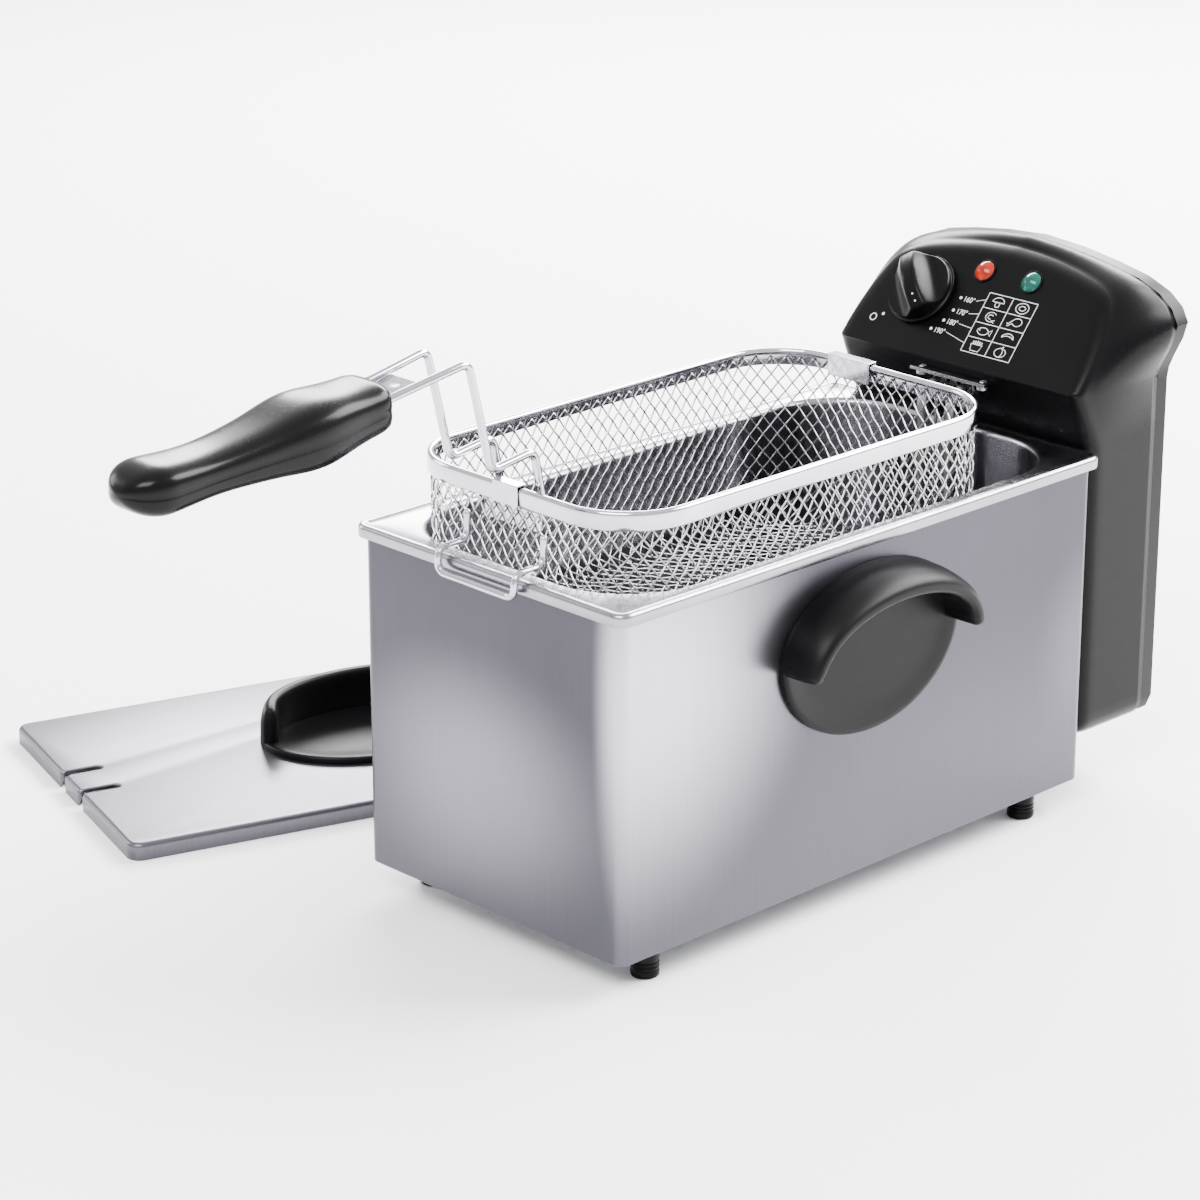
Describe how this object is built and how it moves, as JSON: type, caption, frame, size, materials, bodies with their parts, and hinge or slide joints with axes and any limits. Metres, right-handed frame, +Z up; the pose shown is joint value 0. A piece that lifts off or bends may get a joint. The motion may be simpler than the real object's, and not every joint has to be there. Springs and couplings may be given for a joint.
{
  "type": "deep fryer",
  "caption": "Counter-top electric deep fryer: brushed steel housing, lift-out pot, lift-off control head with element, wire basket with folding handle, and its lid laid beside it.",
  "frame": {"origin": "centre of the whole object's bounding box, lid and basket handle included, on the surface that the feet and the lid stand on", "axes": "+Z up; +Y from the basket's handle towards the control head, the fryer's long way; +X to the right seen from the handle end, away from the lid"},
  "size_m": [0.5206, 0.6662, 0.3222],
  "materials": {
    "brushed_steel": "fine vertical brushing",
    "pot_steel": "satin with a polished rolled rim",
    "bright_wire": "bright plated",
    "element_steel": "satin, heat-tinted",
    "black_plastic": "fine-grained satin",
    "gloss_black": "gloss",
    "red_lens": "clear red, domed",
    "green_lens": "clear green, domed",
    "red_button": "gloss red",
    "lamp_glass": "clear",
    "ivory_moulding": "matt moulded",
    "zinc_steel": "zinc plated"
  },
  "bodies": {
    "housing": {"housing_shell": "brushed_steel", "base_plate": "zinc_steel", "foot_front_left": "black_plastic", "foot_front_right": "black_plastic", "foot_rear_left": "black_plastic", "foot_rear_right": "black_plastic", "foot_screw_front_left": "zinc_steel", "foot_screw_front_right": "zinc_steel", "foot_screw_rear_left": "zinc_steel", "foot_screw_rear_right": "zinc_steel", "side_handle_left": "black_plastic", "side_handle_right": "black_plastic", "handle_screw_left_front": "zinc_steel", "handle_screw_left_rear": "zinc_steel", "handle_screw_right_front": "zinc_steel", "handle_screw_right_rear": "zinc_steel", "guide_rail": "zinc_steel"},
    "pot": {"oil_pot": "pot_steel"},
    "control": {"head_front_casing": "black_plastic", "head_back_cover": "black_plastic", "cover_screw_1": "zinc_steel", "cover_screw_2": "zinc_steel", "cover_screw_3": "zinc_steel", "cover_screw_4": "zinc_steel", "thermostat_body": "zinc_steel", "red_lens": "red_lens", "green_lens": "green_lens", "red_neon_lamp": "lamp_glass", "green_neon_lamp": "lamp_glass", "thermal_cut_out": "ivory_moulding", "terminal_block": "ivory_moulding", "interlock_switch": "ivory_moulding", "cord_gland": "black_plastic", "heating_element": "element_steel", "thermostat_sensor": "element_steel", "element_bracket": "bright_wire", "bracket_screw_left": "zinc_steel", "bracket_screw_right": "zinc_steel"},
    "knob": {"thermostat_knob": "black_plastic", "thermostat_shaft": "zinc_steel"},
    "reset": {"reset_button": "red_button"},
    "basket": {"basket_mesh": "bright_wire", "basket_rim_band": "bright_wire", "band_joint_cover": "bright_wire", "handle_bracket": "bright_wire", "drain_hook": "bright_wire"},
    "basket_handle": {"handle_wire_left": "bright_wire", "handle_wire_right": "bright_wire", "latch_plate": "bright_wire", "grip_upper": "gloss_black", "grip_lower": "gloss_black", "grip_screw": "zinc_steel"},
    "lid": {"lid_panel": "brushed_steel", "lid_handle": "black_plastic", "lid_screw_front": "zinc_steel", "lid_screw_rear": "zinc_steel"}
  },
  "joints": [
    {"name": "pot_lift", "type": "slide", "parent": "housing", "child": "pot", "axis": [0, 0, 1], "range_m": [0, 0.15]},
    {"name": "control_lift", "type": "slide", "parent": "pot", "child": "control", "axis": [0, 0, 1], "range_m": [0, 0.18]},
    {"name": "basket_lift", "type": "slide", "parent": "control", "child": "basket", "axis": [0, 0, 1], "range_m": [0, 0.12]},
    {"name": "handle_swing", "type": "hinge", "parent": "basket", "child": "basket_handle", "pos_m": [0.13796, -0.08115, 0.233], "axis": [-1, 0, 0], "range_deg": [0, 95]},
    {"name": "knob_turn", "type": "hinge", "parent": "control", "child": "knob", "pos_m": [0.09356, 0.2687, 0.26742], "axis": [0, 0.766, -0.6428], "range_deg": [-274, 0]},
    {"name": "reset_press", "type": "slide", "parent": "control", "child": "reset", "axis": [0, -1, 0], "range_m": [0, 0.002], "stiffness_N_per_m": 400},
    {"name": "lid_lift", "type": "slide", "parent": "housing", "child": "lid", "axis": [0, 0, 1], "range_m": [0, 0.08]}
  ]
}
